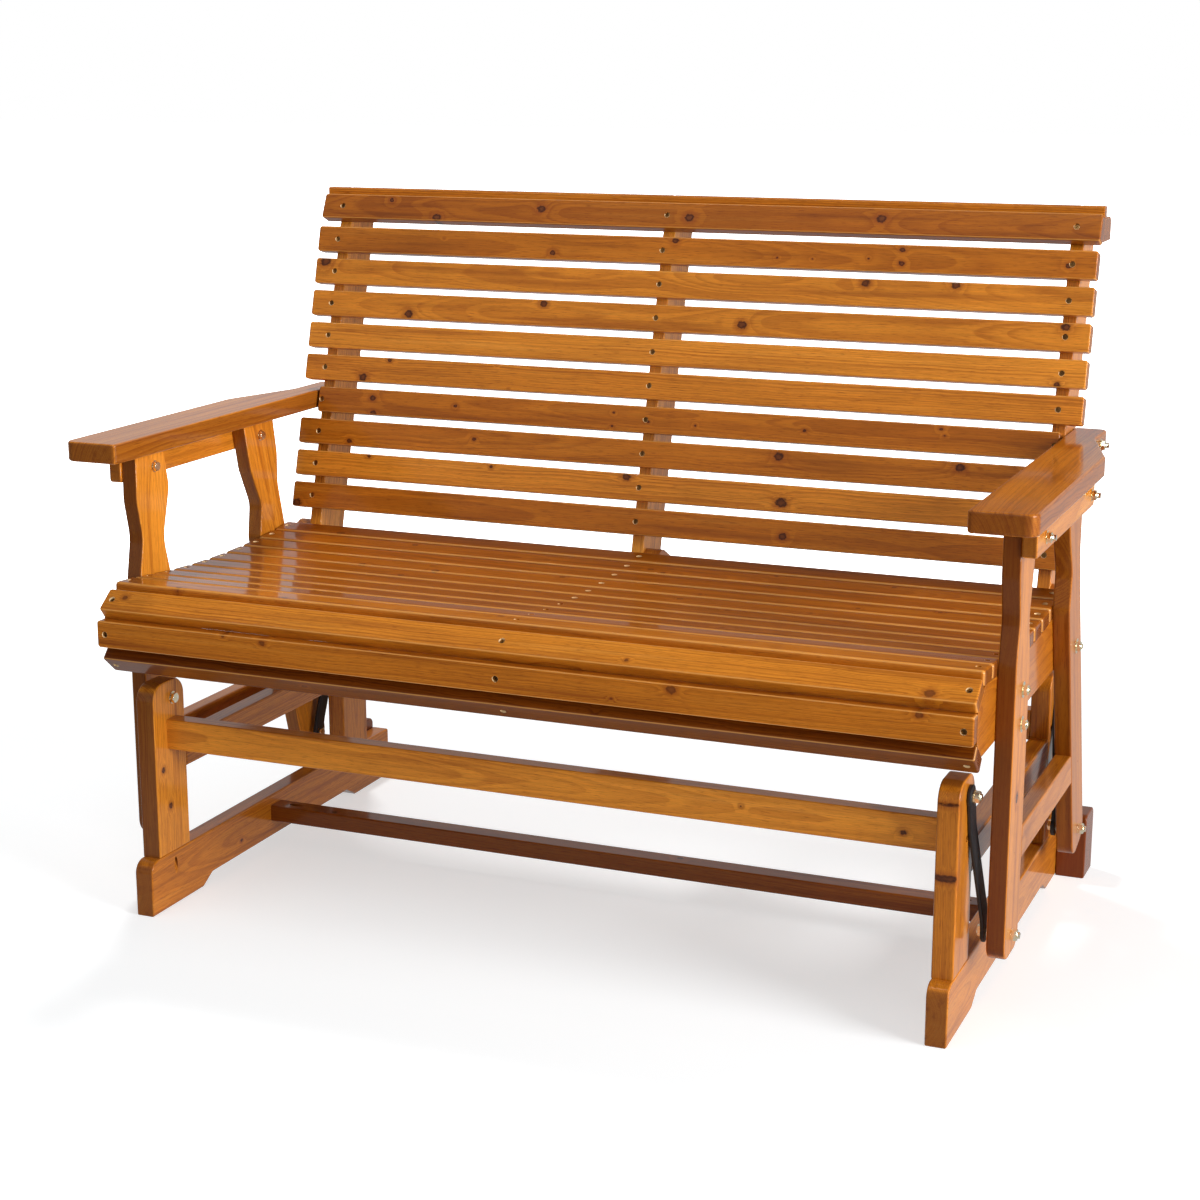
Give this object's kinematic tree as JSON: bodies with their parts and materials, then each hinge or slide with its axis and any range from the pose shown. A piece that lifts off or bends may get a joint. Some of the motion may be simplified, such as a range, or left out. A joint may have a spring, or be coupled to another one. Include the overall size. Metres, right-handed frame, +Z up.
{
  "type": "glider bench",
  "caption": "Two-seat slatted wooden porch glider: a seat with arms hangs on steel bars from a fixed base and swings fore and aft.",
  "frame": {"origin": "middle of the bench's footprint, on the floor", "axes": "+X to the right hand side seen from the front, +Y to the back, +Z up"},
  "size_m": [1.274, 0.713, 0.937],
  "materials": {
    "base_wood": "stained and varnished softwood",
    "seat_frame_wood": "stained and varnished softwood",
    "slat_wood": "stained and varnished softwood",
    "armrest_wood": "stained and varnished softwood",
    "black_steel": "black powder coat",
    "bolts": "yellow zinc plated",
    "screws": "yellow zinc plated"
  },
  "bodies": {
    "base": {"left_runner": "base_wood", "right_runner": "base_wood", "front_left_post": "base_wood", "front_right_post": "base_wood", "rear_left_post": "base_wood", "rear_right_post": "base_wood", "left_side_rail": "base_wood", "right_side_rail": "base_wood", "front_stretcher": "base_wood", "rear_stretcher": "base_wood", "lower_stretcher": "base_wood", "rear_foot_blocks": "base_wood", "base_screws": "screws", "hanger_top_bolts": "bolts"},
    "front_hangers": {"front_left_hanger": "black_steel", "front_right_hanger": "black_steel"},
    "seat": {"front_left_leg": "seat_frame_wood", "front_right_leg": "seat_frame_wood", "rear_left_leg": "seat_frame_wood", "rear_right_leg": "seat_frame_wood", "leg_rails": "seat_frame_wood", "arm_rails": "seat_frame_wood", "left_armrest": "armrest_wood", "right_armrest": "armrest_wood", "left_seat_support": "seat_frame_wood", "centre_seat_support": "seat_frame_wood", "right_seat_support": "seat_frame_wood", "left_back_post": "seat_frame_wood", "centre_back_post": "seat_frame_wood", "right_back_post": "seat_frame_wood", "back_slat_1": "slat_wood", "back_slat_2": "slat_wood", "back_slat_3": "slat_wood", "back_slat_4": "slat_wood", "back_slat_5": "slat_wood", "back_slat_6": "slat_wood", "back_slat_7": "slat_wood", "back_slat_8": "slat_wood", "back_slat_9": "slat_wood", "back_slat_10": "slat_wood", "back_top_rail": "slat_wood", "back_cap_strip": "slat_wood", "seat_slat_1": "slat_wood", "seat_slat_2": "slat_wood", "seat_slat_3": "slat_wood", "seat_slat_4": "slat_wood", "seat_slat_5": "slat_wood", "seat_slat_6": "slat_wood", "seat_slat_7": "slat_wood", "seat_slat_8": "slat_wood", "seat_slat_9": "slat_wood", "seat_slat_10": "slat_wood", "roll_slat_1": "slat_wood", "roll_slat_2": "slat_wood", "roll_slat_3": "slat_wood", "seat_screws": "screws", "frame_bolts": "bolts", "hanger_bottom_bolts": "bolts"},
    "rear_hangers": {"rear_left_hanger": "black_steel", "rear_right_hanger": "black_steel"}
  },
  "joints": [
    {"name": "front_hanger_swing", "type": "hinge", "parent": "base", "child": "front_hangers", "pos_m": [0, -0.26583, 0.291], "axis": [1, 0, 0], "range_deg": [-11, 11]},
    {"name": "seat_front_pivot", "type": "hinge", "parent": "front_hangers", "child": "seat", "pos_m": [0, -0.21783, 0.108], "axis": [1, 0, 0], "range_deg": [-14, 14]},
    {"name": "rear_hanger_swing", "type": "hinge", "parent": "base", "child": "rear_hangers", "pos_m": [0, 0.24417, 0.291], "axis": [1, 0, 0], "range_deg": [-11.5, 11.5]}
  ],
  "couplings": [
    {"joint": "seat_front_pivot", "follows": "front_hanger_swing", "ratio": -1.2319},
    {"joint": "rear_hanger_swing", "follows": "front_hanger_swing", "ratio": 1}
  ]
}
